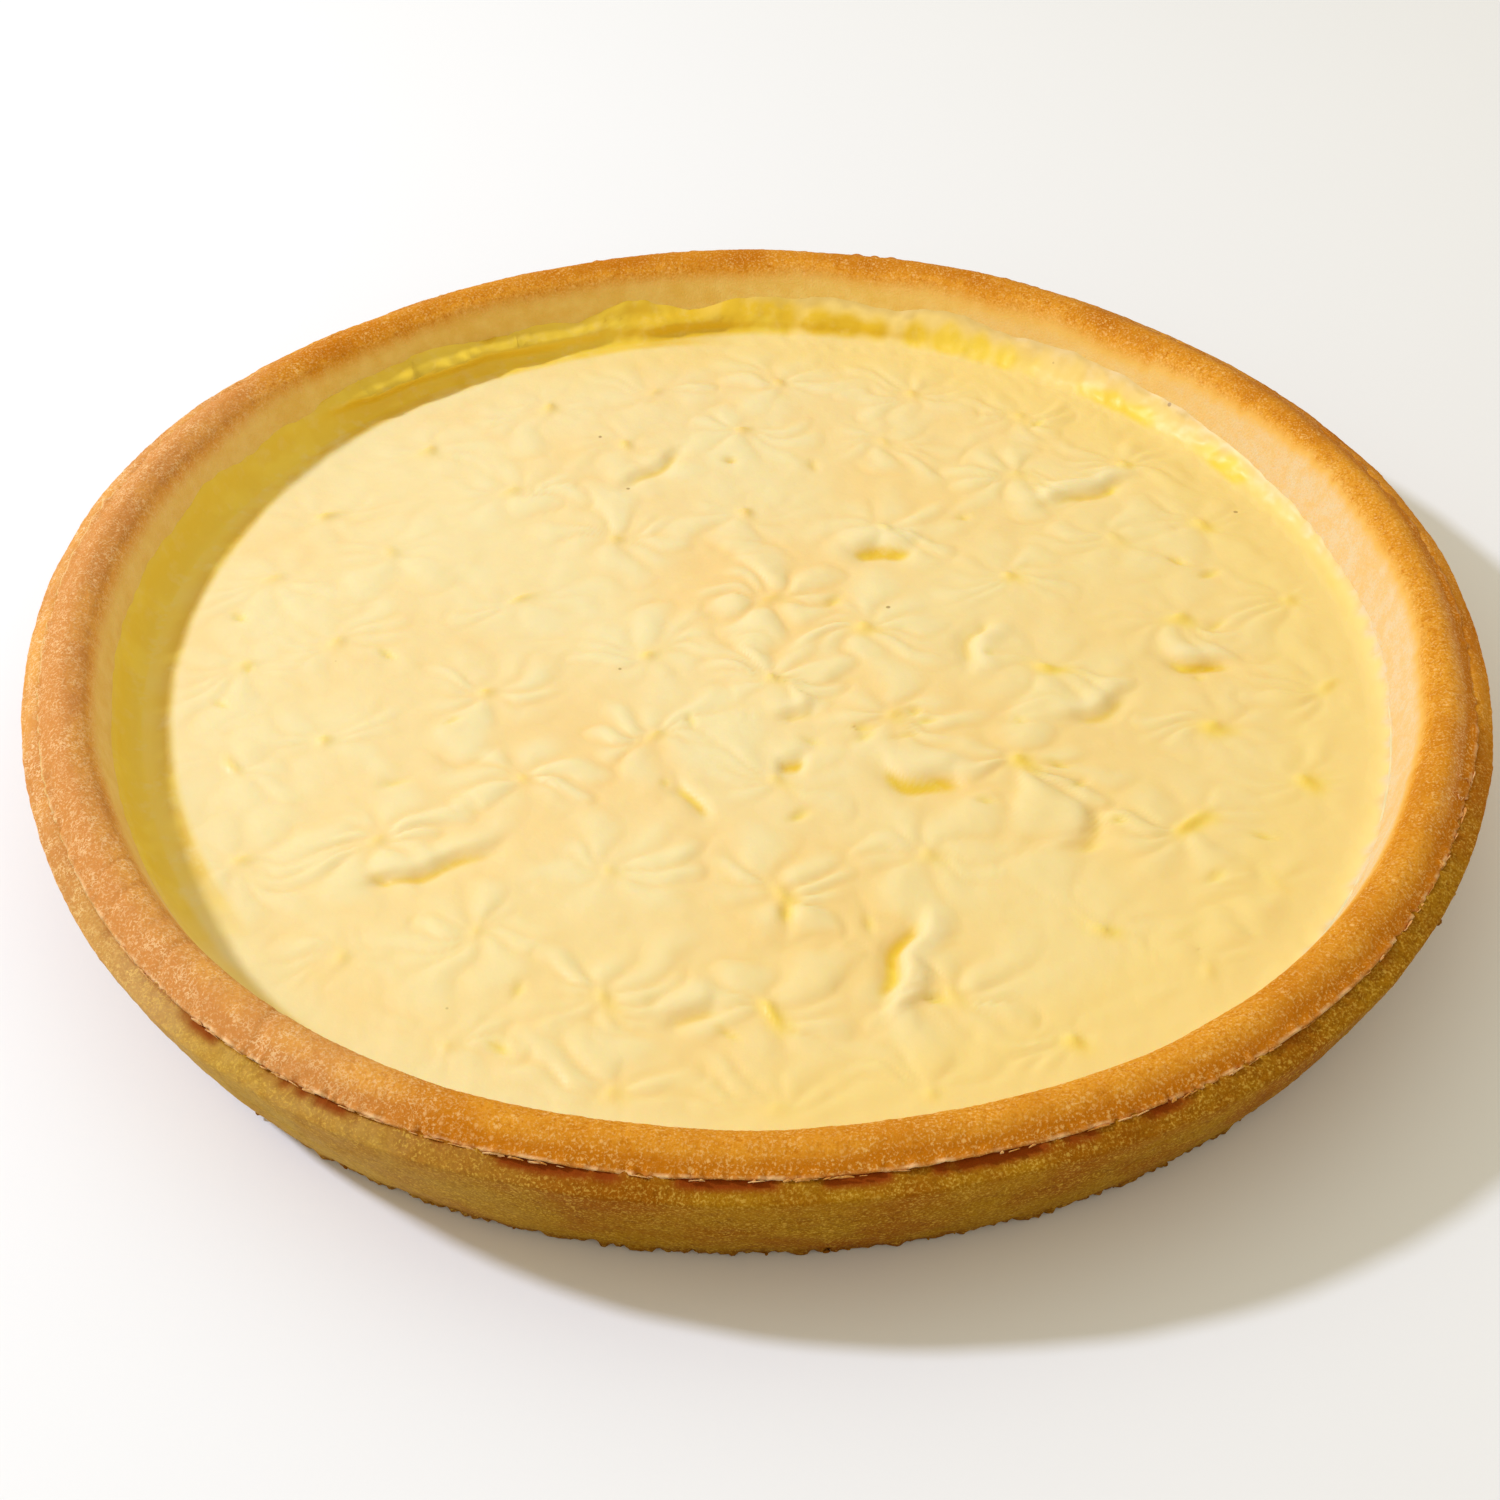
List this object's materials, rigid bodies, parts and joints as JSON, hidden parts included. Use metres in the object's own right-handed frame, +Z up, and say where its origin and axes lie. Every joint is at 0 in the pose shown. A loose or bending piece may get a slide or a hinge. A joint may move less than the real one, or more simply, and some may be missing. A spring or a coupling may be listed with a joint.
{
  "type": "custard vlaai",
  "caption": "Round open custard tart: a browned yeast-dough case with a rounded rim and a split seam, filled with piped, baked custard.",
  "frame": {"origin": "middle of the flat underside, on the table", "axes": "+Z up out of the filling, -Y towards the side that the picture shows in front, +X to the right of that view"},
  "size_m": [0.28, 0.2782, 0.0315],
  "materials": {
    "crust": "baked yeast dough, golden brown, speckled and matt",
    "custard": "baked custard, pale yellow, moist satin"
  },
  "bodies": {
    "root": {"crust": "crust", "custard": "custard"}
  },
  "joints": []
}
